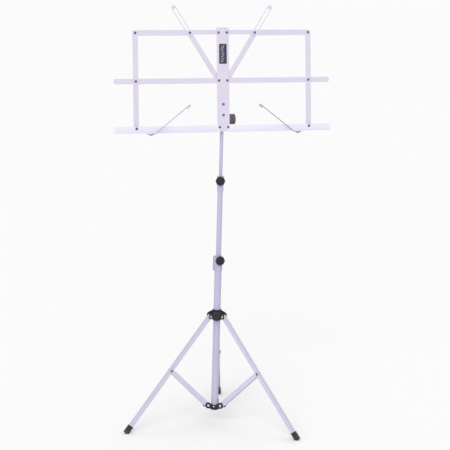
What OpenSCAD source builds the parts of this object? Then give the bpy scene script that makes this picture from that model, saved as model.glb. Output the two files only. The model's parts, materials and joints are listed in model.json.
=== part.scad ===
// Folding music stand: a telescoping mast on a folding tripod carries a folding sheet desk.
// The desk faces -Y. The origin is the centre of the footprint, on the floor.

/* [Tripod] */
// Angle of an open leg from the vertical
leg_angle = 39.2; // [39:0.1:40]
// Angle of an open strut from the vertical
strut_angle = 45.8; // [45.2:0.1:46.2]
// Distance from a leg's top pivot to its strut rivet
leg_upper = 153; // [151:1:156]
// Distance from a leg's top pivot to the end of its channel
leg_len = 320; // [314:1:321]
// Height of the strut pivots on the fixed hub
lower_z = 43.5; // [42:0.5:46]
// Distance of the strut pivots from the mast axis
strut_pivot_r = 20; // [19.5:0.1:20.5]
// Distance of the leg pivots from the mast axis
leg_pivot_r = 17.8; // [17.6:0.1:18.2]
// How far the tripod is turned clockwise from the desk
base_turn = 18.8; // [0:0.1:30]

/* [Mast] */
// Outside diameter of the lower tube
tube_d = 16; // [15.8:0.1:16.2]
// Outside diameter of the middle tube
mid_d = 12; // [11.8:0.1:12.2]
// Outside diameter of the top rod
rod_d = 8; // [7.8:0.1:8.2]
// Height of the top of the lower tube
tube_top = 391; // [385:1:400]
// Height of the top of the middle tube
mid_top = 575; // [560:1:590]
// Length of the middle tube
mid_len = 335; // [300:1:340]
// Length of the top rod
rod_len = 325; // [280:1:335]
// Direction that the lower clamp knob points in, from +X
lower_knob_az = 267.6; // [240:0.1:300]
// Direction that the upper clamp knob points in, from +X
upper_knob_az = 253.6; // [240:0.1:300]

/* [Desk] */
// Angle that the desk leans back from the vertical
tilt = 7.5; // [0:0.5:20]
// Height of the tilt axis
tilt_z = 706.5; // [700:0.5:715]
// Half the width of the open desk
desk_half = 250; // [240:1:260]
// Distance of a side bar from the desk's centre line
side_x = 200; // [190:1:210]
// Distance of a guide pin from the desk's centre line
pin_x = 75; // [74:0.5:76]
// Distance of a bar's rivet from the desk's centre line
hinge_x = 9.6; // [9.4:0.1:9.8]
// Height of the middle rivets over the ledge rivets
mid_s = 103.8; // [102:0.1:105]
// Height of the top rivets over the ledge rivets
top_s = 210; // [209:0.5:211]
// Thickness of the desk's sheet metal
sheet = 1.2; // [1.1:0.1:1.2]
// Width of the centre plate
plate_w = 28; // [27:0.5:29]
// Width of the side and middle bars
bar_w = 12; // [11.5:0.1:12]
// Depth of the ledge in front of its upright flange
ledge_depth = 10; // [9:0.5:11]

/* [Hidden] */
$fn = 64;

paint = [0.86, 0.83, 0.93];
plastic = [0.14, 0.13, 0.15];
steel = [0.72, 0.70, 0.76];
rubber = [0.10, 0.10, 0.11];

// Tripod
left_az = 210 - base_turn;
right_az = 330 - base_turn;
rear_az = 90 - base_turn;
strut_len = (leg_pivot_r + leg_upper * sin(leg_angle) - strut_pivot_r) / sin(strut_angle);
upper_z = lower_z + strut_len * cos(strut_angle) + leg_upper * cos(leg_angle);
leg_wall = 1;
leg_w = 8.6;
leg_d = 8.6;
strut_wall = 0.9;
strut_gap = leg_w + 0.7;
strut_w = strut_gap + 2 * strut_wall;
strut_root_d = 11.6;
strut_tip_d = 9;
strut_root_r = 5.3;
strut_neck = 8;
web_start = 12;
web_end = strut_len - 14;
rivet_r = 1.4;
rivet_fit = 0.05;
head_r = 3;
head_h = 1.2;
pin_clear = 0.08;

// Rubber feet: the end of each cap is cut flat where it stands on the floor
foot_w = 10.6;
foot_len = 20;
foot_corner = 1.6;
foot_cut = 3;
foot_end = (upper_z + foot_cut - foot_w / 2 * sin(leg_angle)) / cos(leg_angle);
foot_r = leg_pivot_r + foot_end * sin(leg_angle) + foot_w / 2 * cos(leg_angle);
foot_reach_back = foot_r * sin(rear_az);
foot_reach_front = foot_r * sin(right_az);
mast_y = -(foot_reach_back + foot_reach_front) / 2;

// Hubs
tube_r = tube_d / 2;
tube_wall = 1;
hub_r = 9.8;
hub_h = 11.5;
hub_z = lower_z - 12.5;
hub_floor = 2;
ear_t = 2.4;
ear_r = 7;
ear_root = 4;
side_gap = 0.3;
groove_r = 2.6;
groove_depth = 1.3;
runner_low = 10.5;
runner_high = 14.5;
runner_knob_z = upper_z + 2;
runner_knob_az = left_az + 60;
hub_screw_az = left_az + 50;
hub_screw_r = 1.6;
hub_screw_head_r = 2.2;
hub_screw_seat = hub_r - 0.4;
hub_screw_z = lower_z - 4.5;

// Clamps on the mast
mid_r = mid_d / 2;
mid_wall = 0.8;
rod_r = rod_d / 2;
rod_wall = 1;
glide_clear = 0.05;
glide_h = 22;
collar_h = 32;
collar_wall = 1.3;
collar_lip = 2;
ear_flange = 4;
lower_knob_z = 385.5;
upper_knob_z = 568.5;
rod_top = tilt_z - 9;
boss_r = 4.6;
boss_len = 4.5;
screw_r = 2;
knob_r = 10.6;
knob_h = 8;

// Desk, as distances in front of the face of the centre plate
tab_step = 1.2;
ledge_front = tab_step + 0.15 + sheet;
bar_front = -sheet - 0.15;
slot_front = bar_front - sheet - 0.15;
slot_back = slot_front - sheet;
axis_back = 12;
axis_s = 17.5;
plate_low = -9.5;
plate_high = 11.5;
plate_corner = 2;
joggle_low = 5.5;
joggle_high = 12;
bracket_rivet_s = [27, 51];
bracket_low = 11;
bracket_high = 57;
label_low = 141;
label_w = 17.4;
label_h = 44;
label_t = 0.3;
ledge_up = 4.6;
ledge_down = 9.5;
shelf_s = -ledge_down - sheet;
slot_w = 7;
slot_bar_w = 10.6;
slot_root_w = 11.5;
slot_bar_len = 196;
slot_rest = norm([pin_x - hinge_x, top_s - mid_s]);
slot_lean = atan((pin_x - hinge_x) / (top_s - mid_s));
slot_lag = 0.5;
slot_end = 185;
guide_r = 1.5;
lug_x = 170;
lug_gap = 11;
lug_t = 1.2;
holder_n = ledge_front + ledge_depth - sheet + 1.6;
holder_s = shelf_s - 1.4;
wire_r = 1;
fork_x = 3.6;
bracket_t = 1.5;
tilt_r = 3;
tilt_ear_r = 6.4;
nut_h = 4.5;
knob_bore_end = 11.2;

// ---------- placing ----------

module at_mast() translate([0, mast_y, 0]) children();

// X runs outward along a leg's direction, Y across it
module arm(az) at_mast() rotate(az) children();

// Z runs up a leg from its top pivot, X to the leg's outer face
module on_leg(az) arm(az) translate([leg_pivot_r, 0, upper_z]) rotate([0, -leg_angle, 0]) children();

// Z runs up a strut from its hub pivot, -X to the mast
module on_strut(az)
    arm(az) translate([strut_pivot_r, 0, lower_z]) rotate([0, strut_angle, 0]) children();

// X to the right, -Y out of the desk's face, Z up the desk from the ledge rivets
module on_desk()
    at_mast() translate([0, 0, tilt_z]) rotate([-tilt, 0, 0])
        translate([0, -axis_back, -axis_s]) children();

// Sheet whose front face is a distance in front of the centre plate
module desk_sheet(front, thick = sheet)
    translate([0, -front + thick, 0]) rotate([90, 0, 0]) linear_extrude(thick) children();

// The left half of the desk, side -1, is the mirror image of the right half
module side(s) if (s < 0) mirror([1, 0, 0]) children(); else children();

// ---------- small parts ----------

module rod_y(r, len) rotate([90, 0, 0]) cylinder(r = r, h = len, center = true);

module dome(r, h) {
    ball_r = (r * r + h * h) / (2 * h);
    intersection() {
        translate([0, 0, h - ball_r]) sphere(ball_r);
        cylinder(r = r, h = h);
    }
}

// Rivet along Y, with a head outside each of two faces
module rivet_y(span) {
    rod_y(rivet_r, span + 0.2);
    for (turn = [-90, 90]) rotate([turn, 0, 0]) translate([0, 0, span / 2]) dome(head_r, head_h);
}

// Rivet through desk sheets, from the front face of the first to the rear face of the last
module desk_rivet(x, s, front, back, tail = true)
    translate([x, -front, s]) rotate([-90, 0, 0]) {
        root = 0.2;
        translate([0, 0, -root]) cylinder(r = rivet_r, h = front - back + (tail ? 2 : 1) * root);
        mirror([0, 0, 1]) dome(head_r, head_h);
        if (tail) translate([0, 0, front - back]) dome(head_r, head_h);
    }

module lobed(r, lobes) {
    lobe_r = 0.22 * r;
    circle(0.88 * r);
    for (i = [0:lobes - 1]) rotate(i * 360 / lobes) translate([r - lobe_r, 0]) circle(lobe_r);
}

// Clamp knob whose axis is Z, its face at the top
module knob(r, h) {
    neck_h = 2;
    crown_h = 1;
    cylinder(r1 = 0.5 * r, r2 = 0.62 * r, h = neck_h);
    translate([0, 0, 0.75 * neck_h]) linear_extrude(h - 0.75 * neck_h - crown_h) lobed(r, 8);
    translate([0, 0, h - crown_h]) cylinder(r1 = 0.8 * r, r2 = 0.62 * r, h = crown_h);
}

// Radial screw: X runs outward from the mast axis
module on_clamp(az, z) arm(az) translate([0, 0, z]) rotate([0, 90, 0]) children();

// ---------- tripod ----------

module channel(w, d, wall, len) {
    difference() {
        translate([-d / 2, -w / 2, -len]) cube([d, w, len]);
        translate([-d / 2 - 1, -w / 2 + wall, -len - 1]) cube([d - wall + 1, w - 2 * wall, len + 2]);
    }
}

module leg(az) color(paint) on_leg(az) difference() {
    intersection() {
        translate([0, 0, leg_d / 2]) channel(leg_w, leg_d, leg_wall, leg_len + leg_d / 2);
        union() {
            rod_y(leg_d / 2 - 0.25, leg_w + 2);
            translate([-leg_d / 2, -leg_w, -leg_len]) cube([leg_d, 2 * leg_w, leg_len]);
        }
    }
    rod_y(rivet_r + rivet_fit, leg_w + 2);
    translate([0, 0, -leg_upper]) rod_y(rivet_r + rivet_fit, leg_w + 2);
}

// Pin that hooks into the runner's grooves, and the rivet of the strut
module leg_rivets(az) color(steel) on_leg(az) {
    rod_y(rivet_r, leg_w + 2 * groove_depth);
    translate([0, 0, -leg_upper]) rivet_y(strut_w + side_gap);
}

module foot(az) color(rubber) intersection() {
    on_leg(az) difference() {
        translate([-foot_w / 2, -foot_w / 2, -foot_end]) foot_block();
        translate([-leg_d / 2 - 0.1, -leg_w / 2 - 0.1, -leg_len])
            cube([leg_d + 0.2, leg_w + 0.2, leg_len]);
    }
    translate([-300, -300, 0]) cube([600, 600, 100]);
}

module foot_block() linear_extrude(foot_len) translate([foot_corner, foot_corner]) {
    inner = foot_w - 2 * foot_corner;
    square(inner);
    translate([-foot_corner, 0]) square([foot_w, inner]);
    translate([0, -foot_corner]) square([inner, foot_w]);
    for (x = [0, inner], y = [0, inner]) translate([x, y]) circle(foot_corner);
}

// Two cheeks that straddle the leg, and a web between them that stops short of both pivots
module strut(az) color(paint) on_strut(az) difference() {
    union() {
        for (y = [-strut_gap / 2, strut_w / 2]) translate([0, y, 0])
            rotate([90, 0, 0]) linear_extrude(strut_wall) strut_outline();
        translate([-strut_root_d / 2, -strut_w / 2, web_start])
            cube([strut_wall, strut_w, web_end - web_start]);
    }
    for (z = [0, strut_len]) translate([0, 0, z]) rod_y(rivet_r + pin_clear, strut_w + 2);
}

module strut_outline() {
    circle(strut_root_r);
    translate([0, strut_len]) circle(strut_tip_d / 2);
    polygon([
        [-strut_root_r, 0], [-strut_root_d / 2, strut_neck], [-strut_root_d / 2, web_end],
        [-strut_tip_d / 2, strut_len], [strut_tip_d / 2, strut_len],
        [strut_root_d / 2, strut_neck], [strut_root_r, 0]
    ]);
}

// Two ears across an arm, whose inner faces are a gap apart
module ear_pair(gap) for (y = [-gap / 2, gap / 2 + ear_t]) translate([0, y, 0])
    rotate([90, 0, 0]) linear_extrude(ear_t) children();

module lower_ear() translate([strut_pivot_r, 0]) {
    root = ear_root - strut_pivot_r;
    circle(ear_r);
    polygon([
        [root, hub_z - lower_z + 2], [0, -ear_r], [0, 0],
        [-0.55 * ear_r, 0.8 * ear_r], [root, hub_z + hub_h - lower_z - 2]
    ]);
}

module lower_hub() color(plastic) difference() {
    union() {
        at_mast() translate([0, 0, hub_z]) cylinder(r = hub_r, h = hub_h);
        for (az = [left_az, right_az, rear_az]) arm(az) translate([0, 0, lower_z])
            ear_pair(strut_w + 2 * side_gap) lower_ear();
    }
    at_mast() translate([0, 0, hub_z + hub_floor])
        cylinder(r = tube_r + glide_clear, h = 3 * hub_h);
    for (az = [left_az, right_az, rear_az]) arm(az) translate([strut_pivot_r, 0, lower_z])
        rod_y(rivet_r + rivet_fit, 4 * strut_w);
    // Hole and spot face of the screw
    on_clamp(hub_screw_az, hub_screw_z) {
        cylinder(r = hub_screw_r + rivet_fit, h = hub_r + 1);
        translate([0, 0, hub_screw_seat]) cylinder(r = hub_screw_head_r + 0.2, h = hub_r);
    }
}

module hub_rivets() color(steel) for (az = [left_az, right_az, rear_az])
    arm(az) translate([strut_pivot_r, 0, lower_z]) rivet_y(strut_w + 2 * side_gap + 2 * ear_t);

// Screw that holds the tube in the hub
module hub_screw() color(steel) on_clamp(hub_screw_az, hub_screw_z) {
    tip = tube_r - tube_wall - 1;
    translate([0, 0, tip]) cylinder(r = hub_screw_r, h = hub_screw_seat - tip + 0.5);
    translate([0, 0, hub_screw_seat]) dome(hub_screw_head_r, 1.3 * head_h);
}

// The ear's top edge slopes down from the runner's barrel
module runner_ear() polygon([
    [ear_root, -8], [13, -5.5], [21, -5.5], [22.4, -4], [22.4, 4.6], [19.5, 8], [ear_root, 13.5]
]);

module runner_hub() color(plastic) difference() {
    groove_w = leg_w + 2 * side_gap + 2 * groove_depth;
    union() {
        at_mast() translate([0, 0, upper_z - runner_low])
            cylinder(r = hub_r, h = runner_low + runner_high);
        for (az = [left_az, right_az, rear_az]) arm(az) translate([0, 0, upper_z])
            ear_pair(leg_w + 2 * side_gap) runner_ear();
        on_clamp(runner_knob_az, runner_knob_z)
            translate([0, 0, tube_r + 0.5]) cylinder(r = boss_r + 1, h = 7);
    }
    at_mast() translate([0, 0, upper_z - 2 * runner_low])
        cylinder(r = tube_r + glide_clear, h = 4 * runner_low);
    // Grooves in the ears' inner faces, open at the top, where the leg pins hook in
    for (az = [left_az, right_az, rear_az]) arm(az) translate([leg_pivot_r, 0, upper_z]) {
        rod_y(groove_r, groove_w);
        translate([-groove_r, -groove_w / 2, 0]) cube([2 * groove_r, groove_w, runner_high]);
        rod_y(rivet_r + rivet_fit, 4 * leg_w);
    }
    on_clamp(runner_knob_az, runner_knob_z) cylinder(r = screw_r + pin_clear, h = 30);
}

// Rivet heads on the outer faces of the runner's ears
module runner_rivets() color(steel) for (az = [left_az, right_az, rear_az], turn = [-90, 90])
    arm(az) translate([leg_pivot_r, 0, upper_z]) rotate([turn, 0, 0]) {
        face = leg_w / 2 + side_gap + ear_t;
        root = 0.8;
        translate([0, 0, face - root]) cylinder(r = rivet_r, h = root + 0.2);
        translate([0, 0, face]) dome(head_r, head_h);
    }

module runner_screw() color(steel) on_clamp(runner_knob_az, runner_knob_z)
    translate([0, 0, tube_r + 0.3]) cylinder(r = screw_r, h = 9);

module runner_knob() color(plastic) on_clamp(runner_knob_az, runner_knob_z)
    translate([0, 0, tube_r + 8]) difference() {
        knob(0.97 * knob_r, knob_h);
        translate([0, 0, -1]) cylinder(r = screw_r, h = 2.3);
    }

// ---------- mast ----------

module tube(r, wall, low, high) translate([0, 0, low]) difference() {
    cylinder(r = r, h = high - low);
    translate([0, 0, -1]) cylinder(r = r - wall, h = high - low + 2);
}

module lower_tube() color(paint) difference() {
    at_mast() tube(tube_r, tube_wall, hub_z + hub_floor, tube_top);
    on_clamp(lower_knob_az, lower_knob_z) cylinder(r = screw_r + 0.3, h = 30);
    on_clamp(hub_screw_az, hub_screw_z) cylinder(r = hub_screw_r + rivet_fit, h = 20);
}

// Sleeve over the end of a tube, with a lip that guides the next one and a clamp boss
module collar(outer_r, inner_r, top, az, screw_z, flange = 0) difference() {
    union() {
        at_mast() translate([0, 0, top - collar_h])
            cylinder(r = outer_r + collar_wall, h = collar_h + collar_lip);
        on_clamp(az, screw_z) translate([0, 0, outer_r - 0.5]) cylinder(r = boss_r, h = boss_len);
        // Bent edge of the sheet, beside the boss
        if (flange > 0) arm(az) translate([-2.5, -outer_r - flange, top - collar_h])
            cube([1.4, outer_r + flange, collar_h + collar_lip]);
    }
    at_mast() translate([0, 0, top - collar_h - 1])
        cylinder(r = outer_r + glide_clear, h = collar_h + 1);
    at_mast() cylinder(r = inner_r + glide_clear, h = 2 * top);
    on_clamp(az, screw_z) cylinder(r = screw_r + pin_clear, h = 30);
}

module lower_collar() color(paint)
    collar(tube_r, mid_r, tube_top, lower_knob_az, lower_knob_z, ear_flange);

module upper_collar() color(paint)
    collar(mid_r, rod_r, mid_top, upper_knob_az, upper_knob_z);

// The screw reaches in to the tube that it holds
module clamp_screw(az, z, held_r, outer_r) color(steel) on_clamp(az, z)
    translate([0, 0, held_r + 0.3]) cylinder(r = screw_r, h = outer_r - held_r + boss_len + 2);

module clamp_knob(az, z, outer_r, r) color(plastic) on_clamp(az, z)
    translate([0, 0, outer_r + boss_len]) difference() {
        knob(r, knob_h);
        translate([0, 0, -1]) cylinder(r = screw_r, h = 3.3);
    }

module mid_tube() color(paint) difference() {
    at_mast() tube(mid_r, mid_wall, mid_top - mid_len, mid_top);
    on_clamp(upper_knob_az, upper_knob_z) cylinder(r = screw_r + 0.3, h = 30);
}

// Nylon sleeves that keep each sliding stage in the middle of the tube below
module glide(inner_r, outer_r, low) color([0.92, 0.92, 0.90]) at_mast()
    tube(outer_r - glide_clear, outer_r - inner_r - 2 * glide_clear, low, low + glide_h);

module top_rod() color(paint) at_mast()
    tube(rod_r, rod_wall, rod_top - rod_len, rod_top);

// Eye on the end of the top rod, between the cheeks of the tilt bracket
module rod_eye() color(paint) at_mast() difference() {
    eye_half = fork_x - side_gap;
    sleeve_low = tilt_z - 26;
    sleeve_h = rod_top - sleeve_low;
    union() {
        translate([0, 0, tilt_z]) rotate([0, 90, 0])
            cylinder(r = tilt_ear_r, h = 2 * eye_half, center = true);
        translate([-eye_half, -rod_r, rod_top - 3]) cube([2 * eye_half, 2 * rod_r, 10]);
        translate([0, 0, sleeve_low]) cylinder(r = rod_r + 1, h = sleeve_h);
    }
    translate([0, 0, sleeve_low - 1]) cylinder(r = rod_r + 0.02, h = sleeve_h + 1);
    translate([0, 0, tilt_z]) rotate([0, 90, 0])
        cylinder(r = tilt_r + pin_clear, h = 20, center = true);
}

// ---------- desk ----------

// Strip with two round upper corners
module plate_outline(low, high) {
    inner_x = plate_w / 2 - plate_corner;
    translate([-plate_w / 2, low]) square([plate_w, high - low - plate_corner]);
    translate([-inner_x, low]) square([2 * inner_x, high - low]);
    for (x = [-inner_x, inner_x]) translate([x, high - plate_corner]) circle(plate_corner);
}

// The plate's foot steps forward, so that the ledge bars fold up over its rivets
module centre_plate() color(paint) on_desk() difference() {
    union() {
        desk_sheet(0) plate_outline(joggle_high, top_s + plate_high);
        desk_sheet(tab_step) translate([-plate_w / 2, plate_low])
            square([plate_w, joggle_low - plate_low]);
        rotate([90, 0, 90]) linear_extrude(plate_w, center = true) polygon([
            [0, joggle_high], [-tab_step, joggle_low],
            [sheet - tab_step, joggle_low], [sheet, joggle_high]
        ]);
    }
    for (x = [-hinge_x, hinge_x], s = [0, mid_s, top_s]) desk_hole(x, s);
    for (s = bracket_rivet_s) desk_hole(0, s);
}

module desk_hole(x, s, r = rivet_r + rivet_fit)
    translate([x, 0, s]) rod_y(r, 30);

module plate_rivets() color(steel) on_desk() {
    for (x = [-hinge_x, hinge_x]) {
        desk_rivet(x, 0, ledge_front + 0.15, tab_step - sheet);
        desk_rivet(x, mid_s, 0, slot_back - 0.15);
        desk_rivet(x, top_s, 0, bar_front - sheet, tail = false);
    }
    for (s = bracket_rivet_s) desk_rivet(0, s, 0, -sheet - bracket_t);
}

module label() color([0.16, 0.14, 0.2]) on_desk()
    desk_sheet(label_t, label_t) translate([-label_w / 2, label_low]) square([label_w, label_h]);

// Channel behind the plate, whose cheeks reach back to the tilt axis
module tilt_bracket() color(paint) on_desk() difference() {
    union() {
        translate([-fork_x - bracket_t, sheet, bracket_low])
            cube([2 * (fork_x + bracket_t), bracket_t, bracket_high - bracket_low]);
        for (x = [-fork_x - bracket_t, fork_x]) translate([x, 0, 0])
            rotate([90, 0, 90]) linear_extrude(bracket_t) {
                translate([axis_back, axis_s]) circle(tilt_ear_r);
                polygon([
                    [sheet, bracket_low], [axis_back, axis_s - tilt_ear_r],
                    [axis_back + tilt_ear_r - 0.2, axis_s + 1.5],
                    [5, bracket_high], [sheet, bracket_high]
                ]);
            }
    }
    translate([0, axis_back, axis_s]) rotate([0, 90, 0])
        cylinder(r = tilt_r + pin_clear, h = 20, center = true);
    for (s = bracket_rivet_s) desk_hole(0, s);
}

module on_tilt_axis() on_desk() translate([0, axis_back, axis_s]) rotate([0, 90, 0]) children();

module tilt_nut() color(steel) on_tilt_axis()
    translate([0, 0, -fork_x - bracket_t - nut_h]) difference() {
        cylinder(r = 5.5, h = nut_h, $fn = 6);
        translate([0, 0, -1]) cylinder(r = tilt_r + pin_clear, h = nut_h + 2);
    }

module tilt_screw() color(steel) on_tilt_axis() {
    tip = fork_x + bracket_t + nut_h + 1.5;
    translate([0, 0, -tip]) cylinder(r = tilt_r, h = tip + knob_bore_end);
}

// Knob on the right of the bracket, its screw sunk in its neck
module tilt_knob() color(plastic) on_tilt_axis() difference() {
    grip_low = 15;
    grip_h = 12.7;
    grip_r = 11.75;
    flute_r = 1.4;
    flutes = 18;
    union() {
        translate([0, 0, fork_x + bracket_t + side_gap]) cylinder(r = 6, h = 10);
        translate([0, 0, grip_low]) linear_extrude(grip_h) difference() {
            circle(grip_r);
            for (i = [0:flutes - 1]) rotate(i * 360 / flutes)
                translate([grip_r + 0.65, 0]) circle(flute_r);
        }
        translate([0, 0, grip_low + grip_h]) cylinder(r1 = grip_r - 1.15, r2 = grip_r - 2.15, h = 1);
    }
    cylinder(r = tilt_r, h = knob_bore_end);
}

// The bar is narrower between the guide pin and the centre plate
module top_bar_outline() {
    half_w = 6.15;
    translate([hinge_x, 1]) circle(5);
    translate([hinge_x, -4]) square([pin_x - hinge_x, 10]);
    translate([pin_x - 6, -2 * half_w + 6]) square([side_x - pin_x + 6, 2 * half_w]);
    translate([side_x, 6 - half_w]) circle(half_w);
}

module top_bar(s) color(paint) on_desk() side(s) difference() {
    desk_sheet(bar_front) translate([0, top_s]) top_bar_outline();
    desk_hole(hinge_x, top_s, rivet_r + pin_clear);
    desk_hole(side_x, top_s, rivet_r + pin_clear);
    desk_hole(pin_x, top_s, guide_r + 0.05);
}

// The pin's wide tail keeps the slotted bar against the top bar
module guide_pin(s) color(steel) on_desk() side(s) {
    translate([pin_x, -bar_front, top_s]) rotate([-90, 0, 0]) {
        cylinder(r = guide_r, h = 2 * sheet + 0.6);
        mirror([0, 0, 1]) dome(head_r, 1.05);
        translate([0, 0, 2 * sheet + 0.45]) cylinder(r = 4.8, h = 1);
    }
}

module middle_bar(s) color(paint) on_desk() side(s) difference() {
    desk_sheet(bar_front) translate([0, mid_s]) {
        translate([hinge_x, 0]) circle(bar_w / 2);
        translate([hinge_x, -bar_w / 2]) square([desk_half - bar_w / 2 - hinge_x, bar_w]);
        translate([desk_half - bar_w / 2, 0]) circle(bar_w / 2);
    }
    desk_hole(hinge_x, mid_s, rivet_r + pin_clear);
    desk_hole(side_x, mid_s, rivet_r + 0.25);
}

module ledge_bar(s) color(paint) on_desk() side(s) difference() {
    union() {
        desk_sheet(ledge_front) {
            translate([hinge_x, -0.5]) circle(4.5);
            translate([hinge_x, -ledge_down - sheet])
                square([desk_half - hinge_x - 2, ledge_up + ledge_down + sheet]);
            translate([desk_half - 3, -ledge_down - sheet]) square([3, ledge_up + ledge_down + sheet - 2]);
            translate([desk_half - 2, ledge_up - 2]) circle(2);
        }
        // Shelf that the music stands on
        translate([hinge_x + 4.4, -ledge_front - ledge_depth + sheet, shelf_s])
            cube([desk_half - hinge_x - 4.4, ledge_depth, sheet]);
        // Lugs that carry the page holder
        for (x = [lug_x - lug_gap / 2, lug_x + lug_gap / 2]) translate([x - lug_t / 2, 0, 0])
            rotate([90, 0, 90]) linear_extrude(lug_t) {
                translate([-holder_n, holder_s]) circle(2);
                translate([-holder_n, holder_s - 2]) square([5, 4.2]);
            }
    }
    desk_hole(hinge_x, 0, rivet_r + pin_clear);
    desk_hole(side_x, 0, rivet_r + 0.25);
    on_holder() cylinder(r = wire_r + pin_clear, h = 30, center = true);
}

module side_bar(s) color(paint) on_desk() side(s) difference() {
    desk_sheet(0) {
        for (z = [0, top_s]) translate([side_x, z]) circle(bar_w / 2);
        translate([side_x - bar_w / 2, 0]) square([bar_w, top_s]);
    }
    for (z = [0, mid_s, top_s]) desk_hole(side_x, z);
}

// The lowest rivet has a shoulder that spaces the ledge bar from the side bar
module side_rivets(s) color(steel) on_desk() side(s) {
    desk_rivet(side_x, 0, ledge_front + 0.15, -sheet);
    translate([side_x, -tab_step, 0]) rotate([-90, 0, 0]) cylinder(r = head_r, h = tab_step);
    for (z = [mid_s, top_s]) desk_rivet(side_x, z, 0, bar_front - sheet - 0.1);
}

module slotted_bar(s) color(paint) on_desk() side(s)
    desk_sheet(slot_front) translate([hinge_x, mid_s]) rotate(-slot_lean - slot_lag)
        difference() {
            union() {
                circle(slot_root_w / 2);
                translate([-slot_root_w / 2, 0]) square([slot_root_w, slot_rest - 6]);
                translate([-slot_bar_w / 2, 0]) square([slot_bar_w, slot_bar_len - slot_bar_w / 2]);
                translate([0, slot_bar_len - slot_bar_w / 2]) circle(slot_bar_w / 2);
            }
            circle(rivet_r + pin_clear);
            for (d = [slot_rest, slot_end]) translate([0, d]) circle(slot_w / 2);
            translate([-slot_w / 2, slot_rest]) square([slot_w, slot_end - slot_rest]);
        }

// Z runs along the page holder's hinge axis, away from the centre plate
module on_holder() translate([lug_x, -holder_n, holder_s]) rotate([0, 90, 0]) children();

module wire(from, to) {
    run = to - from;
    translate(from) rotate([0, acos(run.z / norm(run)), atan2(run.y, run.x)])
        cylinder(r = wire_r, h = norm(run), $fn = 20);
    translate(to) sphere(wire_r + 0.04, $fn = 20);
}

// Wire from the hinge, past a dip between the lugs, up the arm and round the hooked tip
module page_holder(s) color(steel) on_desk() side(s) translate([lug_x, -holder_n, holder_s]) {
    reach = 79;
    rise = 62;
    path = [
        [8, 0, 0], [3.8, 0, 0], [0, 0, -2.8], [-3.8, 0, 0], [-8.4, 0, 0],
        [-8.4 - reach, 0, rise], [-11.6 - reach, 0, rise + 0.6], [-11.4 - reach, 0, rise - 2.4],
        [-5 - reach, 0, rise - 6.6]
    ];
    for (i = [0:len(path) - 2]) wire(path[i], path[i + 1]);
    translate(path[0]) sphere(wire_r * 1.6, $fn = 20);
}

lower_tube();
lower_hub();
hub_rivets();
hub_screw();
lower_collar();
runner_hub();
runner_rivets();
runner_screw();
runner_knob();
strut(left_az);  // left_strut
strut(right_az);  // right_strut
strut(rear_az);  // rear_strut
leg(left_az);  // left_leg
leg(right_az);  // right_leg
leg(rear_az);  // rear_leg
leg_rivets(left_az);  // left_leg_rivets
leg_rivets(right_az);  // right_leg_rivets
leg_rivets(rear_az);  // rear_leg_rivets
foot(left_az);  // left_foot
foot(right_az);  // right_foot
foot(rear_az);  // rear_foot
clamp_screw(lower_knob_az, lower_knob_z, mid_r, tube_r);  // lower_screw
clamp_knob(lower_knob_az, lower_knob_z, tube_r, knob_r);  // lower_knob
glide(mid_r, tube_r - tube_wall, mid_top - mid_len);  // mid_glide
mid_tube();
upper_collar();
clamp_screw(upper_knob_az, upper_knob_z, rod_r, mid_r);  // upper_screw
clamp_knob(upper_knob_az, upper_knob_z, mid_r, knob_r);  // upper_knob
glide(rod_r, mid_r - mid_wall, rod_top - rod_len);  // rod_glide
top_rod();
rod_eye();
centre_plate();
plate_rivets();
tilt_bracket();
tilt_nut();
label();
tilt_screw();
tilt_knob();
top_bar(-1);  // left_top_bar
top_bar(1);  // right_top_bar
guide_pin(-1);  // left_guide_pin
guide_pin(1);  // right_guide_pin
middle_bar(-1);  // left_middle_bar
middle_bar(1);  // right_middle_bar
ledge_bar(-1);  // left_ledge_bar
ledge_bar(1);  // right_ledge_bar
side_bar(-1);  // left_side_bar
side_bar(1);  // right_side_bar
side_rivets(-1);  // left_side_rivets
side_rivets(1);  // right_side_rivets
slotted_bar(-1);  // left_slotted_bar
slotted_bar(1);  // right_slotted_bar
page_holder(-1);  // left_page_holder
page_holder(1);  // right_page_holder
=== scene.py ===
import json
import math

import bmesh
import bpy
from mathutils import Matrix, Vector


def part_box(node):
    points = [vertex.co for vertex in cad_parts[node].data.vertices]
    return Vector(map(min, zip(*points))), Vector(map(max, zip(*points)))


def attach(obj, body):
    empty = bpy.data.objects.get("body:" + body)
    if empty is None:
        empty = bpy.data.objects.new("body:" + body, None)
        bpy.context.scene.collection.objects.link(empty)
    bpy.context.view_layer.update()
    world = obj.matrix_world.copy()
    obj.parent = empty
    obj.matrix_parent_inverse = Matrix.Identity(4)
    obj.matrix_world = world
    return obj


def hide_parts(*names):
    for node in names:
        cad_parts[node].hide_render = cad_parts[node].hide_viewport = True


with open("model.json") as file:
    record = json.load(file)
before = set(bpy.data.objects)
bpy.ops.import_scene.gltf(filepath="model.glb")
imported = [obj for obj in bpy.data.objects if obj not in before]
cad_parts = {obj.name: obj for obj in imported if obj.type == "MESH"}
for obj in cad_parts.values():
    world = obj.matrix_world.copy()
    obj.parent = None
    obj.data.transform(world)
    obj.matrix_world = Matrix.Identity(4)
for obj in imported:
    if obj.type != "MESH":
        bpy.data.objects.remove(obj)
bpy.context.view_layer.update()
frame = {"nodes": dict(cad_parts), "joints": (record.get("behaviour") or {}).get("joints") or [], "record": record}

MM = 0.001
record = frame["record"]
nodes = frame["nodes"]
joints = {j["name"]: j for j in frame["joints"]}
body_of = {n: body for body, group in record["behaviour"]["bodies"].items() for n in group}
slot_of = {part["node"]: part["material_slot"] for part in record["subparts"]}
SIDES = ("left", "right")
LEGS = ("left", "right", "rear")


# ---------- where things are ----------

def joint_place(name):
    """Position and unit axis of a joint."""
    return Vector(joints[name]["pos_m"]), Vector(joints[name]["axis"]).normalized()


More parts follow.
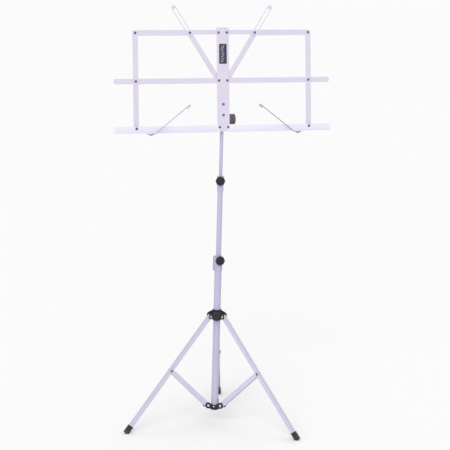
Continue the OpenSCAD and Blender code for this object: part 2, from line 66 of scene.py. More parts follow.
def axes(origin, along, side=None):
    """Matrix whose Z runs along a direction, and whose Y is as close to side as it can be."""
    z = Vector(along).normalized()
    y = Vector(side) if side else (Vector((0, 0, 1)) if abs(z.z) < 0.9 else Vector((0, 1, 0)))
    x = y.cross(z).normalized()
    y = z.cross(x)
    rotation = Matrix((x, y, z)).transposed().to_4x4()
    return Matrix.Translation(origin) @ rotation


def reach(points, origin, along):
    """Lowest and highest place of points along an axis, and their greatest distance from it."""
    offsets = [Vector(p) - origin for p in points]
    heights = [o.dot(along) for o in offsets]
    radii = [(o - along * h).length for o, h in zip(offsets, heights)]
    return min(heights), max(heights), max(radii)


def node_points(node):
    """Corner points of a CAD node."""
    return [v.co.copy() for v in nodes[node].data.vertices]


def solids(node):
    """Corner points of each separate solid in a CAD node, from the lowest solid to the highest."""
    bm = bmesh.new()
    bm.from_mesh(nodes[node].data)
    bmesh.ops.remove_doubles(bm, verts=bm.verts, dist=1e-6)
    waiting = set(bm.verts)
    found = []
    while waiting:
        stack = [waiting.pop()]
        points = []
        while stack:
            vertex = stack.pop()
            points.append(vertex.co.copy())
            for edge in vertex.link_edges:
                other = edge.other_vert(vertex)
                if other in waiting:
                    waiting.remove(other)
                    stack.append(other)
        found.append(points)
    bm.free()
    return sorted(found, key=lambda group: sum(p.z for p in group) / len(group))


def middle(points):
    """Middle of the box round the points."""
    low = Vector([min(p[i] for p in points) for i in range(3)])
    high = Vector([max(p[i] for p in points) for i in range(3)])
    return (low + high) / 2


def centroid(points):
    """Mean place of the points."""
    return sum(points, Vector()) / len(points)


def across_arm(point):
    """Hinge direction of the tripod arm that a point lies on."""
    arms = [joint_place(side + "_strut_fold") for side in LEGS]
    return min(arms, key=lambda arm: (arm[0] - point).length)[1]


mast = Vector(joints["desk_tilt"]["pos_m"])
mast.z = 0
UP = Vector((0, 0, 1))
desk_out = -joint_place("left_top_bar_fold")[1]
desk_up = Vector((1, 0, 0)).cross(desk_out)
if desk_up.z < 0:
    desk_up.negate()


# ---------- materials ----------

def material(name, color, roughness, metallic=0.0, coat=0.0, sheen=0.0):
    """A principled material whose shader holds only constants."""
    made = bpy.data.materials.new(name)
    made.use_nodes = True
    shader = made.node_tree.nodes["Principled BSDF"]
    shader.inputs["Base Color"].default_value = (*color, 1)
    shader.inputs["Roughness"].default_value = roughness
    shader.inputs["Metallic"].default_value = metallic
    shader.inputs["Coat Weight"].default_value = coat
    shader.inputs["Coat Roughness"].default_value = 0.25
    shader.inputs["Sheen Weight"].default_value = sheen
    return made


class Nodes:
    """Short ways to add shader nodes to a material."""

    def __init__(self, made):
        self.tree = made.node_tree
        self.shader = self.tree.nodes["Principled BSDF"]
        self.where = self.tree.nodes.new("ShaderNodeTexCoord").outputs["Object"]

    def link(self, source, target):
        self.tree.links.new(source, target)

    def stretched(self, scale):
        node = self.tree.nodes.new("ShaderNodeMapping")
        node.inputs["Scale"].default_value = scale
        self.link(self.where, node.inputs["Vector"])
        return node.outputs["Vector"]

    def noise(self, scale, detail=3.0, vector=None):
        node = self.tree.nodes.new("ShaderNodeTexNoise")
        node.inputs["Scale"].default_value = scale
        node.inputs["Detail"].default_value = detail
        self.link(vector or self.where, node.inputs["Vector"])
        return node.outputs["Fac"]

    def cells(self, scale, feature="F1"):
        node = self.tree.nodes.new("ShaderNodeTexVoronoi")
        node.feature = feature
        node.inputs["Scale"].default_value = scale
        self.link(self.where, node.inputs["Vector"])
        return node.outputs["Distance"]

    def ramp(self, value, low, high, out_low=0.0, out_high=1.0):
        node = self.tree.nodes.new("ShaderNodeMapRange")
        node.inputs["From Min"].default_value = low
        node.inputs["From Max"].default_value = high
        node.inputs["To Min"].default_value = out_low
        node.inputs["To Max"].default_value = out_high
        self.link(value, node.inputs["Value"])
        return node.outputs["Result"]

    def math(self, kind, first, second):
        node = self.tree.nodes.new("ShaderNodeMath")
        node.operation = kind
        for socket, value in zip(node.inputs, (first, second)):
            if isinstance(value, (int, float)):
                socket.default_value = value
            else:
                self.link(value, socket)
        return node.outputs["Value"]

    def mix(self, share, first, second):
        node = self.tree.nodes.new("ShaderNodeMix")
        node.data_type = "RGBA"
        self.link(share, node.inputs["Factor"])
        inputs = [s for s in node.inputs if s.type == "RGBA"]
        for socket, value in zip(inputs, (first, second)):
            if isinstance(value, tuple):
                socket.default_value = (*value, 1)
            else:
                self.link(value, socket)
        return [s for s in node.outputs if s.type == "RGBA"][0]

    def edges(self, low=0.52, high=0.62):
        node = self.tree.nodes.new("ShaderNodeNewGeometry")
        return self.ramp(node.outputs["Pointiness"], low, high)

    def height(self):
        node = self.tree.nodes.new("ShaderNodeSeparateXYZ")
        self.link(self.where, node.inputs["Vector"])
        return node.outputs["Z"]

    def bump(self, value, strength, distance, under=None):
        node = self.tree.nodes.new("ShaderNodeBump")
        node.inputs["Strength"].default_value = strength
        node.inputs["Distance"].default_value = distance
        self.link(value, node.inputs["Height"])
        if under:
            self.link(under, node.inputs["Normal"])
        return node.outputs["Normal"]

    def set(self, name, value):
        self.link(value, self.shader.inputs[name])


def powder_coat(name, color, shade, worn):
    """Satin powder coat: fine orange peel, slight tone changes, thin coat worn on the edges."""
    made = material(name, color, 0.42, coat=0.12)
    kit = Nodes(made)
    tone = kit.ramp(kit.noise(14, 4), 0.35, 0.65)
    speck = kit.ramp(kit.noise(2600, 2), 0.3, 0.7, 0.0, 0.35)
    body = kit.mix(kit.math("ADD", kit.math("MULTIPLY", tone, 0.65), speck), color, shade)
    rubbed = kit.math("MULTIPLY", kit.edges(), kit.ramp(kit.noise(160, 5), 0.48, 0.66))
    kit.set("Base Color", kit.mix(kit.math("MULTIPLY", rubbed, 0.55), body, worn))
    kit.set("Roughness", kit.ramp(kit.noise(420, 4), 0.3, 0.7, 0.34, 0.5))
    peel = kit.bump(kit.noise(950, 2), 0.28, 0.05 * MM)
    kit.set("Normal", kit.bump(kit.noise(4200, 2), 0.16, 0.015 * MM, peel))
    return made


def moulded_plastic(name, color, rubbed_color):
    """Spark-textured moulding with edges that handling has polished."""
    made = material(name, color, 0.5)
    made.node_tree.nodes["Principled BSDF"].inputs["Specular IOR Level"].default_value = 0.35
    kit = Nodes(made)
    tone = kit.ramp(kit.noise(90, 3), 0.35, 0.65, 0.0, 0.5)
    base = kit.mix(tone, color, tuple(1.7 * c for c in color))
    kit.set("Base Color", kit.mix(kit.math("MULTIPLY", kit.edges(0.51, 0.6), 0.6), base, rubbed_color))
    kit.set("Roughness", kit.ramp(kit.noise(700, 4), 0.3, 0.7, 0.36, 0.58))
    grain = kit.bump(kit.cells(2600), 0.35, 0.04 * MM)
    kit.set("Normal", kit.bump(kit.noise(5200, 2), 0.2, 0.02 * MM, grain))
    return made


def rubber(name, color, dusty):
    """Matt rubber, a little dusty close to the floor."""
    made = material(name, color, 0.8, sheen=0.15)
    kit = Nodes(made)
    low = kit.ramp(kit.height(), 0.001, 0.014, 0.7, 0.05)
    patchy = kit.math("MULTIPLY", low, kit.ramp(kit.noise(260, 5), 0.4, 0.65))
    kit.set("Base Color", kit.mix(patchy, color, dusty))
    kit.set("Roughness", kit.ramp(kit.noise(900, 3), 0.3, 0.7, 0.68, 0.9))
    kit.set("Normal", kit.bump(kit.noise(1900, 4), 0.4, 0.06 * MM))
    return made


def plated_steel(name, color, dark, roughness, grain_scale):
    """Zinc or nickel plate with fine drawn lines and small dull spots."""
    made = material(name, color, roughness, metallic=1.0)
    kit = Nodes(made)
    lines = kit.noise(grain_scale, 4, kit.stretched((1, 1, 0.12)))
    kit.set("Base Color", kit.mix(kit.ramp(kit.noise(520, 5), 0.5, 0.72), color, dark))
    kit.set("Roughness", kit.ramp(lines, 0.3, 0.7, 0.7 * roughness, 1.5 * roughness))
    kit.set("Normal", kit.bump(lines, 0.15, 0.02 * MM))
    return made


def film(name, color, sheen_color):
    """Printed film: smooth, with fine scuffs that show in the gloss."""
    made = material(name, color, 0.25, coat=0.3)
    kit = Nodes(made)
    scuff = kit.ramp(kit.noise(700, 6, kit.stretched((1, 1, 0.25))), 0.5, 0.7)
    kit.set("Base Color", kit.mix(kit.math("MULTIPLY", scuff, 0.25), color, sheen_color))
    kit.set("Roughness", kit.ramp(scuff, 0, 1, 0.22, 0.4))
    kit.set("Normal", kit.bump(kit.noise(300, 2), 0.1, 0.04 * MM))
    return made


LILAC = (0.655, 0.605, 0.735)
LILAC_SHADE = (0.615, 0.56, 0.695)
# Darker copy of the lilac for the mast's tubes: painted shade of their round sides
TUBE = (0.50, 0.455, 0.635)
TUBE_SHADE = (0.455, 0.41, 0.59)
finishes = {
    "lilac_paint": powder_coat("lilac_paint", LILAC, LILAC_SHADE, (0.52, 0.50, 0.58)),
    # Lighter copy of the lilac for the ledge: painted light against the shade of its shelf
    "ledge_lit_paint": powder_coat("ledge_lit_paint", (0.80, 0.765, 0.87), (0.74, 0.70, 0.82), (0.60, 0.58, 0.66)),
    # Darker copy of the lilac for the legs and struts: painted shade
    "leg_shaded_paint": powder_coat("leg_shaded_paint", (0.60, 0.55, 0.695), (0.555, 0.505, 0.655), (0.48, 0.46, 0.54)),
    "rod_paint": powder_coat("rod_paint", TUBE, TUBE_SHADE, (0.44, 0.42, 0.50)),
    "black_plastic": moulded_plastic("black_plastic", (0.012, 0.011, 0.016), (0.055, 0.05, 0.065)),
    "rubber": rubber("rubber", (0.018, 0.018, 0.02), (0.11, 0.105, 0.10)),
    "steel": plated_steel("steel", (0.80, 0.78, 0.84), (0.50, 0.47, 0.56), 0.24, 900),
    "wire": plated_steel("wire", (0.46, 0.43, 0.52), (0.32, 0.29, 0.38), 0.28, 700),
    "nylon": moulded_plastic("nylon", (0.55, 0.55, 0.52), (0.68, 0.68, 0.66)),
    "label": film("label", (0.022, 0.018, 0.034), (0.07, 0.06, 0.09)),
}
# The ledge takes a lighter copy of the lilac paint, painted light against the shade under its shelf; the legs,
# struts and mast take darker copies, painted shade
finish_of = dict(slot_of)
for tube in ("lower_tube", "mid_tube", "lower_collar", "upper_collar"):
    finish_of[tube] = "rod_paint"
for side in SIDES:
    finish_of[side + "_ledge_bar"] = "ledge_lit_paint"
for side in LEGS:
    finish_of[side + "_leg"] = "leg_shaded_paint"
    finish_of[side + "_strut"] = "leg_shaded_paint"
print_ink = film("label_ink", (0.55, 0.52, 0.66), (0.40, 0.38, 0.5))
dark_rivet = plated_steel("dark_rivet", (0.20, 0.165, 0.26), (0.09, 0.07, 0.12), 0.3, 900)
grip_rubber = moulded_plastic("grip_rubber", (0.075, 0.066, 0.085), (0.15, 0.14, 0.165))
# Dark purple for the sleeve on the page holder's dip: painted shade where the dip hangs under the shelf
sleeve_shade_paint = moulded_plastic("sleeve_shade_paint", (0.13, 0.095, 0.17), (0.20, 0.16, 0.25))


# ---------- pieces ----------

def dress(node):
    """Gives a CAD node its procedural finish."""
    data = nodes[node].data
    data.materials.clear()
    data.materials.append(finishes[finish_of[node]])


def soften(node, width, segments=2):
    """Rounds the pressed or moulded edges of a CAD node, and smooths its shading."""
    shown = nodes[node]
    shown.data.shade_smooth()
    weld = shown.modifiers.new("weld", "WELD")
    weld.merge_threshold = 1e-6
    flat = shown.modifiers.new("flat", "DECIMATE")
    flat.decimate_type = "DISSOLVE"
    flat.angle_limit = math.radians(1)
    bevel = shown.modifiers.new("edge", "BEVEL")
    bevel.width = width
    bevel.segments = segments
    bevel.limit_method = "ANGLE"
    bevel.angle_limit = math.radians(40)
    bevel.harden_normals = True
    bevel.miter_outer = "MITER_ARC"
    normals = shown.modifiers.new("normals", "WEIGHTED_NORMAL")
    normals.keep_sharp = True


def piece(name, bm, node, stands_for=(), finish=None, sharp=40):
    """Makes bm into a piece that rides with a CAD node's body, in its finish or another."""
    bmesh.ops.remove_doubles(bm, verts=bm.verts, dist=2e-6)
    bmesh.ops.recalc_face_normals(bm, faces=bm.faces)
    for face in bm.faces:
        face.smooth = True
    for edge in bm.edges:
        if edge.is_manifold and edge.calc_face_angle(0) > math.radians(sharp):
            edge.smooth = False
    data = bpy.data.meshes.new(name)
    bm.to_mesh(data)
    bm.free()
    data.materials.append(finish or finishes[finish_of[node]])
    made = bpy.data.objects.new(name, data)
    bpy.context.scene.collection.objects.link(made)
    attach(made, body_of[node])
    if stands_for:
        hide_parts(*stands_for)


def skin(bm, rings, close_start=True, close_end=True):
    """Joins rings of vertices, all with the same count, into one closed surface."""
    for first, second in zip(rings, rings[1:]):
        count = len(first)
        for i in range(count):
            after = (i + 1) % count
            bm.faces.new((first[i], first[after], second[after], second[i]))
    if close_start:
        bm.faces.new(list(reversed(rings[0])))
    if close_end:
        bm.faces.new(rings[-1])


def turn(bm, place, profile, steps=48, waves=0, depth=0.0):
    """Turned solid: profile holds (radius, height, how much of the waves it takes)."""
    rings = []
    for radius, height, share in profile:
        ring = []
        for i in range(steps):
            angle = 2 * math.pi * i / steps
            dent = (0.5 - 0.5 * math.cos(waves * angle)) if waves else 0
            wide = radius * (1 - depth * share * dent)
            spot = Vector((wide * math.cos(angle), wide * math.sin(angle), height))
            ring.append(bm.verts.new(place @ spot))
        rings.append(ring)
    skin(bm, rings)


def plain(*pairs):
    """Profile without waves."""
    return [(radius, height, 0) for radius, height in pairs]


def rounded_square(half, corner, steps=5):
    """Outline points of a square with round corners."""
    points = []
    for quarter in range(4):
        centre = Matrix.Rotation(quarter * math.pi / 2, 2) @ Vector((half - corner, half - corner))
        for i in range(steps + 1):
            angle = quarter * math.pi / 2 + i * math.pi / 2 / steps
            points.append(centre + corner * Vector((math.cos(angle), math.sin(angle))))
    return points


def loft(bm, place, sections):
    """Solid through rounded squares: sections hold (half width, corner radius, height)."""
    rings = []
    for half, corner, height in sections:
        outline = rounded_square(half, corner)
        rings.append([bm.verts.new(place @ Vector((p.x, p.y, height))) for p in outline])
    skin(bm, rings)


def block(bm, place, low, high):
    """Box between two corners, in the axes of place."""
    centre = (Vector(low) + Vector(high)) / 2
    size = Vector(high) - Vector(low)
    matrix = place @ Matrix.Translation(centre) @ Matrix.Diagonal((*size, 1))
    bmesh.ops.create_cube(bm, size=1, matrix=matrix)


def thread(bm, place, radius, low, high, pitch=0.8 * MM, steps=24):
    """Threaded rod along Z."""
    depth = 0.09 * radius
    rows = max(4, int(math.ceil((high - low) / (pitch / 4))))
    rings = []
    for row in range(rows + 1):
        height = low + (high - low) * row / rows
        ring = []
        for i in range(steps):
            turned = (height / pitch - i / steps) % 1
            wide = radius - depth * (1 - abs(2 * turned - 1))
            angle = 2 * math.pi * i / steps
            spot = Vector((wide * math.cos(angle), wide * math.sin(angle), height))
            ring.append(bm.verts.new(place @ spot))
        rings.append(ring)
    skin(bm, rings)


def clamp_knob(name):
    """Knob with eight soft corners, a dished face and a centre boss."""
    origin, along = joint_place(name + "_turn")
    low, high, radius = reach(node_points(name), origin, along)
    size = high - low
    shape = (
        (0.30, 0.00, 0), (0.50, 0.00, 0), (0.55, 0.03, 0), (0.59, 0.18, 0), (0.66, 0.21, 0.2),
        (0.86, 0.22, 0.8), (0.96, 0.26, 1), (1.00, 0.34, 1), (1.00, 0.76, 1), (0.97, 0.85, 1),
        (0.90, 0.92, 0.8), (0.80, 0.96, 0.4), (0.72, 0.96, 0.1), (0.68, 0.93, 0), (0.65, 0.85, 0),
        (0.32, 0.83, 0), (0.29, 0.86, 0), (0.26, 0.93, 0), (0.20, 0.95, 0), (0.08, 0.96, 0),
    )
    profile = [(radius * r, low + size * h, share) for r, h, share in shape]
    bm = bmesh.new()
    turn(bm, axes(origin, along), profile, steps=96, waves=8, depth=0.05)
    piece(name + "_grip", bm, name, [name])


def clamp_screw(name, joint):
    """Threaded screw with the reach of the CAD one."""
    origin, along = joint_place(joint)
    low, high, radius = reach(node_points(name), origin, along)
    bm = bmesh.new()
    thread(bm, axes(origin, along), radius, low, high)
    piece(name + "_thread", bm, name, [name])


def tilt_knob():
    """Drum with fine flutes between two plain rims, and a dished end."""
    origin, along = joint_place("tilt_knob_turn")
    low, high, radius = reach(node_points("tilt_knob"), origin, along)
    size = high - low
    shape = (
        (0.30, 0.00, 0), (0.50, 0.00, 0), (0.52, 0.02, 0), (0.52, 0.36, 0), (0.56, 0.40, 0),
        (0.90, 0.405, 0), (0.97, 0.415, 0), (1.00, 0.44, 0), (1.00, 0.51, 0), (0.985, 0.53, 1),
        (0.985, 0.88, 1), (1.00, 0.90, 0), (1.00, 0.965, 0), (0.985, 0.99, 0), (0.94, 1.00, 0),
        (0.86, 1.00, 0), (0.82, 0.98, 0), (0.80, 0.94, 0), (0.36, 0.92, 0), (0.33, 0.94, 0),
        (0.30, 0.975, 0), (0.20, 0.985, 0),
    )
    profile = [(radius * r, low + size * h, share) for r, h, share in shape]
    bm = bmesh.new()
    turn(bm, axes(origin, along), profile, steps=180, waves=30, depth=0.03)
    piece("tilt_knob_grip", bm, "tilt_knob", ["tilt_knob"], finish=grip_rubber)


# Height of a rivet's head and radius of its shank
HEAD = 1.2 * MM
SHANK = 1.35 * MM


def set_head(radius, face):
    """Profile of a round head that stands on a face."""
    shape = ((1.0, 0.05), (0.98, 0.22), (0.88, 0.55), (0.70, 0.80), (0.45, 0.95), (0.20, 1.0))
    return [(SHANK, face)] + [(radius * r, face + HEAD * h) for r, h in shape]


def rivet_group(node, along=None, finish=None):
    """Rivets with a rolled tail, dimpled in the middle, and a set head."""
    bm = bmesh.new()
    for points in solids(node):
        centre = centroid(points)
        axis = along or across_arm(centre)
        low, high, radius = reach(points, centre, axis)
        tail = ((0.20, 0.21), (0.34, 0.04), (0.50, 0.0), (0.66, 0.1), (0.86, 0.42), (0.97, 0.85), (1, 0.95))
        profile = [(radius * r, low + HEAD * h) for r, h in tail]
        profile += [(SHANK, low + HEAD)] + set_head(radius, high - HEAD)
        turn(bm, axes(centre, axis), plain(*profile), steps=40)
    piece(node + "_set", bm, node, [node], finish=finish)


def runner_rivets():
    """Heads on both outer faces of each pair of ears on the runner."""
    bm = bmesh.new()
    reach_of_arm = 12 * MM
    for side in LEGS:
        across = joint_place(side + "_leg_fold")[1]
        pivot = centroid(solids(side + "_leg_rivets")[-1])
        for points in solids("runner_rivets"):
            offset = centroid(points) - pivot
            if offset.length > reach_of_arm:
                continue
            outward = across if offset.dot(across) > 0 else -across
            low, high, radius = reach(points, pivot, outward)
            turn(bm, axes(pivot, outward), plain((SHANK, low), *set_head(radius, high - HEAD)), steps=40)
    piece("runner_rivets_set", bm, "runner_rivets", ["runner_rivets"])


def guide_pin(side):
    """Headed pin with a wide round foot that holds the slotted bar."""
    node = side + "_guide_pin"
    centre = centroid(solids(node)[0])
    low, high, radius = reach(node_points(node), centre, -desk_out)
    bm = bmesh.new()
    turn(bm, axes(centre, -desk_out), plain(
        (0.8 * MM, low), (2.1 * MM, low + 0.25 * MM), (2.8 * MM, low + 0.7 * MM), (3.0 * MM, low + 1.0 * MM),
        (SHANK, low + 1.05 * MM), (SHANK, high - 1.0 * MM), (0.97 * radius, high - 1.0 * MM),
        (radius, high - 0.8 * MM), (radius, high - 0.3 * MM), (0.95 * radius, high), (1.6 * MM, high),
        (1.2 * MM, high - 0.25 * MM)), steps=48)
    piece(node + "_turned", bm, node, [node], finish=dark_rivet)


def foot(side):
    """Rubber cap with tread ribs, cut flat where it stands on the floor."""
    node = side + "_foot"
    rivets = [middle(points) for points in solids(side + "_leg_rivets")]
    up_leg = (rivets[-1] - rivets[0]).normalized()
    across = joint_place(side + "_leg_fold")[1]
    centre = rivets[-1]
    low, high, _ = reach(node_points(node), centre, up_leg)
    near, far, _ = reach(node_points(node), centre, across)
    place = axes(centre, up_leg, across)
    half = (far - near) / 2
    length = high - low
    corner = 1.6 * MM
    sections = [
        (0.74 * half, corner, low), (0.91 * half, 1.2 * corner, low + 0.4 * MM),
        (0.985 * half, 1.1 * corner, low + 1.1 * MM), (half, corner, low + 2 * MM),
    ]
    ribs = 4
    for i in range(ribs):
        start = low + length * (0.18 + 0.14 * i)
        for step, out in ((0, 0), (0.4, 0.25), (1.0, 0.25), (1.4, 0)):
            sections.append((half + out * MM, corner, start + step * MM))
    sections += [
        (half, corner, high - 2.6 * MM), (half + 0.35 * MM, corner, high - 2.1 * MM),
        (half + 0.35 * MM, corner, high - 0.6 * MM), (half, 0.9 * corner, high),
        (0.85 * half, 0.5 * MM, high), (0.83 * half, 0.4 * MM, high - 0.7 * MM),
    ]
    bm = bmesh.new()
    loft(bm, place, sections)
    everything = bm.verts[:] + bm.edges[:] + bm.faces[:]
    cut = bmesh.ops.bisect_plane(bm, geom=everything, plane_co=(0, 0, 0), plane_no=UP, clear_inner=True)
    rim = [e for e in cut["geom_cut"] if isinstance(e, bmesh.types.BMEdge)]
    bmesh.ops.holes_fill(bm, edges=rim, sides=0)
    piece(node + "_cap", bm, node, [node], sharp=50)


def filleted(points, radius, steps=7):
    """Polyline with an arc at each inner corner."""
    route = [points[0]]
    for before, corner, after in zip(points, points[1:], points[2:]):
        back, on = before - corner, after - corner
        cut = min(radius, 0.45 * back.length, 0.45 * on.length)
        start, end = corner + cut * back.normalized(), corner + cut * on.normalized()
        for i in range(steps + 1):
            t = i / steps
            route.append((1 - t) ** 2 * start + 2 * t * (1 - t) * corner + t * t * end)
    route.append(points[-1])
    return route


def wire_solid(bm, route, radius, steps=14):
    """Round wire along a route, with domed ends."""
    tangents = []
    for i in range(len(route)):
        before, after = route[max(i - 1, 0)], route[min(i + 1, len(route) - 1)]
        tangents.append((after - before).normalized())
    side = tangents[0].orthogonal().normalized()
    stations = [(route[0] - tangents[0] * radius * math.sin(t), tangents[0], radius * math.cos(t))
                for t in (1.35, 0.9, 0.45)]
    stations += [(p, t, radius) for p, t in zip(route, tangents)]
    stations += [(route[-1] + tangents[-1] * radius * math.sin(t), tangents[-1], radius * math.cos(t))
                 for t in (0.45, 0.9, 1.35)]
    rings = []
    for centre, tangent, wide in stations:
        side = (side - tangent * side.dot(tangent)).normalized()
        other = tangent.cross(side)
        ring = []
        for i in range(steps):
            angle = 2 * math.pi * i / steps
            ring.append(bm.verts.new(centre + wide * (math.cos(angle) * side + math.sin(angle) * other)))
        rings.append(ring)
    skin(bm, rings)


def page_holder(side):
    """Spring wire with a hinge, a dip between the lugs in a dark sleeve that is painted shade under the shelf, an
    arm and a hooked tip.
    """
    node = side + "_page_holder"
    hinge = joint_place(node + "_swing")[0]
    inward = 1 if side == "left" else -1
    low, high, _ = reach(node_points(node), hinge, Vector((inward, 0, 0)))
    rise = reach(node_points(node), hinge, desk_up)[1]
    wire_r = 1.0 * MM
    sleeve_r = 1.35 * MM
    bend = 2.2 * MM
    arm_x, arm_s = high - 4.2 * MM, rise - 1.6 * MM
    dip = ((-3.8 * MM, 0), (0, -2.8 * MM), (3.8 * MM, 0))
    corners = (
        (low + 1.4 * MM, 0), *dip, (8.4 * MM, 0),
        (arm_x, arm_s), (arm_x + 2.4 * MM, arm_s + 0.5 * MM), (arm_x + 2.2 * MM, arm_s - 2.4 * MM),
        (arm_x - 4 * MM, arm_s - 6.6 * MM),
    )
    points = [hinge + Vector((inward * x, 0, 0)) + desk_up * s for x, s in corners]
    bm = bmesh.new()
    wire_solid(bm, filleted(points, bend), wire_r)
    piece(node + "_wire", bm, node, [node], sharp=60)
    # The sleeve's dark colour is painted shade under the shelf
    sleeve = [hinge + Vector((inward * x, 0, 0)) + desk_up * s for x, s in dip]
    bm = bmesh.new()
    wire_solid(bm, filleted(sleeve, bend), sleeve_r)
    piece(node + "_shade_sleeve", bm, node, finish=sleeve_shade_paint, sharp=60)


def label():
    """Film label with a stave and notes, a plain ornament."""
    low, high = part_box("label")
    width = high.x - low.x
    height = (high.z - low.z) / desk_up.z
    place = axes((low + high) / 2, desk_out, desk_up)
    bm = bmesh.new()
    film_t = 0.14 * MM
    corner = 1.0 * MM
    outline = []
    for quarter, (sx, sy) in enumerate(((1, 1), (-1, 1), (-1, -1), (1, -1))):
        for i in range(6):
            angle = quarter * math.pi / 2 + i * math.pi / 10
            outline.append(Vector((
                sx * (width / 2 - corner) + corner * math.cos(angle),
                sy * (height / 2 - corner) + corner * math.sin(angle), 0)))
    rings = []
    for lift, shrink in ((-film_t, 1.0), (0.6 * film_t, 1.0), (film_t, 0.985)):
        rings.append([bm.verts.new(place @ Vector((p.x * shrink, p.y * shrink, lift))) for p in outline])
    skin(bm, rings)
    piece("label_film", bm, "label", ["label"])
    ink_low, ink_high = film_t - 0.02 * MM, film_t + 0.05 * MM
    note_r = 0.85 * MM
    bm = bmesh.new()
    pitch = 1.7 * MM
    half_line = 0.13 * MM
    half_stave = 0.43 * height
    for i in range(5):
        x = (i - 2.6) * pitch
        block(bm, place, (x - half_line, -half_stave, ink_low), (x + half_line, half_stave, ink_high))
    notes = (-0.38, -0.27, -0.14, -0.03, 0.08, 0.20, 0.31, 0.40)
    steps = (-2.1, -0.6, -1.6, 0.4, -0.6, -2.6, -1.1, 0.9)
    for share, step in zip(notes, steps):
        spot = Vector((step * pitch, share * height, 0))
        head = place @ Matrix.Translation(spot) @ Matrix.Diagonal((0.8, 1.25, 1, 1))
        note_top = (0.7 * MM, ink_high + 0.03 * MM)
        turn(bm, head, plain((note_r, ink_low), (note_r, ink_high + 0.01 * MM), note_top), 20)
        block(bm, place, (spot.x - 0.5 * MM, spot.y + 0.8 * MM, ink_low),
              (spot.x + 3.6 * MM, spot.y + 1.15 * MM, ink_high))
    piece("label_print", bm, "label", finish=print_ink)


def bead(bm, height, radius, thick, tall, steps=64):
    """Half-round bead round the mast."""
    root = radius - 0.3 * MM
    profile = [(root, -tall / 2)]
    for i in range(7):
        angle = math.pi * i / 6
        profile.append((radius + thick * math.sin(angle), -tall / 2 * math.cos(angle)))
    profile.append((root, tall / 2))
    place = Matrix.Translation(mast + UP * height)
    turns = [2 * math.pi * i / steps for i in range(steps)]
    rings = []
    for wide, z in profile:
        spots = [Vector((wide * math.cos(a), wide * math.sin(a), z)) for a in turns]
        rings.append([bm.verts.new(place @ spot) for spot in spots])
    skin(bm, rings + [rings[0]], close_start=False, close_end=False)


def collar_beads(name, wall):
    """Rolled edges at both ends of a clamp collar."""
    low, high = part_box(name)
    bm = bmesh.new()
    tall = 1.2 * MM
    for height in (low.z + tall / 2, high.z - tall / 2):
        bead(bm, height, wall, 0.35 * MM, tall)
    piece(name + "_beads", bm, name)


def hub_ribs(name, heights, radius):
    """Moulded bands round a hub's barrel."""
    bm = bmesh.new()
    for height in heights:
        bead(bm, height, radius, 0.45 * MM, 1.6 * MM)
    piece(name + "_bands", bm, name)


def hub_screw():
    """Threaded screw with a pan head, and a thin dark cross, painted shade that stands for its recess."""
    points = node_points("hub_screw")
    centre = middle(points)
    along = centre - mast
    along.z = 0
    along.normalize()
    origin = mast + UP * centre.z
    low, high, radius = reach(points, origin, along)
    place = axes(origin, along)
    head = 1.56 * MM
    shank = 1.6 * MM
    bm = bmesh.new()
    thread(bm, place, shank, low, high - head)
    turn(bm, place, plain(
        (radius, high - head), (radius, high - 0.75 * head), (0.93 * radius, high - 0.35 * head),
        (0.78 * radius, high - 0.1 * head), (0.5 * radius, high), (0.22 * radius, high)))
    piece("hub_screw_head", bm, "hub_screw", ["hub_screw"])
    # Dark cross on the head: painted shade of a recess that is not modelled
    bm = bmesh.new()
    wide, long = 0.22 * MM, 0.55 * radius
    for across in ((long, wide), (wide, long)):
        block(bm, place, (-across[0], -across[1], high - 0.3 * MM), (across[0], across[1], high + 0.02 * MM))
    piece("hub_screw_recess_shade", bm, "hub_screw", finish=finishes["black_plastic"])


for node in nodes:
    dress(node)

SHEET_EDGE = 0.25 * MM
sheet_parts = ["centre_plate", "tilt_bracket", "lower_collar", "upper_collar", "rod_eye"]
sheet_parts += [side + "_leg" for side in LEGS] + [side + "_strut" for side in LEGS]
for bar in ("top_bar", "middle_bar", "ledge_bar", "side_bar", "slotted_bar"):
    sheet_parts += [side + "_" + bar for side in SIDES]
for node in sheet_parts:
    soften(node, SHEET_EDGE)
for node in ("lower_tube", "mid_tube", "top_rod", "mid_glide", "rod_glide", "tilt_nut"):
    soften(node, 0.2 * MM)
for node in ("lower_hub", "runner_hub"):
    soften(node, 0.5 * MM, 3)

for name in ("runner_knob", "lower_knob", "upper_knob"):
    clamp_knob(name)
clamp_screw("runner_screw", "runner_knob_turn")
clamp_screw("lower_screw", "lower_knob_turn")
clamp_screw("upper_screw", "upper_knob_turn")
clamp_screw("tilt_screw", "tilt_knob_turn")
tilt_knob()
hub_screw()
for side in LEGS:
    foot(side)
    rivet_group(side + "_leg_rivets", finish=dark_rivet)
for side in SIDES:
    page_holder(side)
    guide_pin(side)
    rivet_group(side + "_side_rivets", -desk_out, dark_rivet)
rivet_group("plate_rivets", -desk_out, dark_rivet)
rivet_group("hub_rivets")
runner_rivets()
label()
tube_r = (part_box("lower_tube")[1].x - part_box("lower_tube")[0].x) / 2
mid_r = (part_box("mid_tube")[1].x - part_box("mid_tube")[0].x) / 2
COLLAR_WALL = 1.3 * MM
collar_beads("lower_collar", tube_r + COLLAR_WALL)
collar_beads("upper_collar", mid_r + COLLAR_WALL)
HUB_R = 9.8 * MM
BARREL_H = {"lower_hub": 11.5 * MM, "runner_hub": 25 * MM}
BAND_INSET = 1.1 * MM
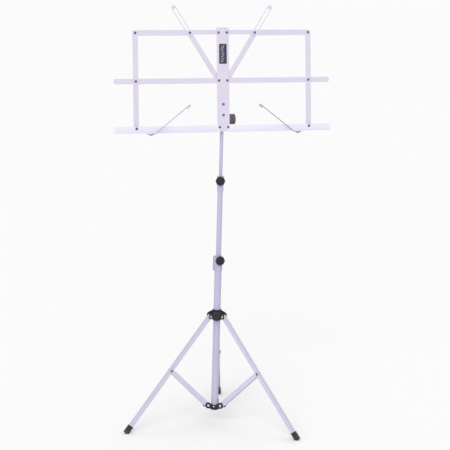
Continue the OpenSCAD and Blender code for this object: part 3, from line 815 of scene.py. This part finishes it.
for name, barrel_h in BARREL_H.items():
    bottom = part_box(name)[0].z
    hub_ribs(name, (bottom + BAND_INSET, bottom + barrel_h - BAND_INSET), HUB_R)


# ---------- stage ----------

def floor():
    """Wide pale paper."""
    bm = bmesh.new()
    bmesh.ops.create_grid(bm, x_segments=1, y_segments=1, size=60)
    data = bpy.data.meshes.new("floor")
    bm.to_mesh(data)
    bm.free()
    paper = material("floor", (0.97, 0.97, 0.975), 0.9)
    data.materials.append(paper)
    made = bpy.data.objects.new("floor", data)
    bpy.context.scene.collection.objects.link(made)


def lights():
    """White sky and two broad suns, the stronger one from the camera's side."""
    world = bpy.data.worlds.new("studio")
    bpy.context.scene.world = world
    world.use_nodes = True
    sky = world.node_tree.nodes["Background"]
    sky.inputs["Color"].default_value = (1.0, 1.0, 1.0, 1)
    sky.inputs["Strength"].default_value = 0.66
    for name, power, spread, direction in (
        ("key", 1.45, 40, (0.42, 0.85, -0.55)),
        ("fill", 0.45, 70, (-0.5, -0.6, -0.9)),
    ):
        data = bpy.data.lights.new(name, "SUN")
        data.energy = power
        data.angle = math.radians(spread)
        made = bpy.data.objects.new(name, data)
        made.rotation_mode = "QUATERNION"
        made.rotation_quaternion = Vector(direction).to_track_quat("-Z", "Y")
        bpy.context.scene.collection.objects.link(made)


def camera():
    """Long lens from the front left, a little above the desk."""
    azimuth = math.radians(16.594)
    elevation = math.radians(11.82)
    roll = math.radians(1.55)
    distance = 4.2099
    aim = mast + Vector((0.0125, -0.0033, 0.4651))
    look = Vector((
        math.sin(azimuth) * math.cos(elevation),
        math.cos(azimuth) * math.cos(elevation),
        -math.sin(elevation),
    ))
    data = bpy.data.cameras.new("camera")
    data.lens = 148.84
    data.sensor_width = 36
    made = bpy.data.objects.new("camera", data)
    made.location = aim - look * distance
    made.rotation_mode = "QUATERNION"
    made.rotation_quaternion = look.to_track_quat("-Z", "Y") @ Matrix.Rotation(roll, 3, "Z").to_quaternion()
    bpy.context.scene.collection.objects.link(made)
    bpy.context.scene.camera = made


floor()
lights()
camera()
bpy.context.scene.view_settings.view_transform = "Standard"
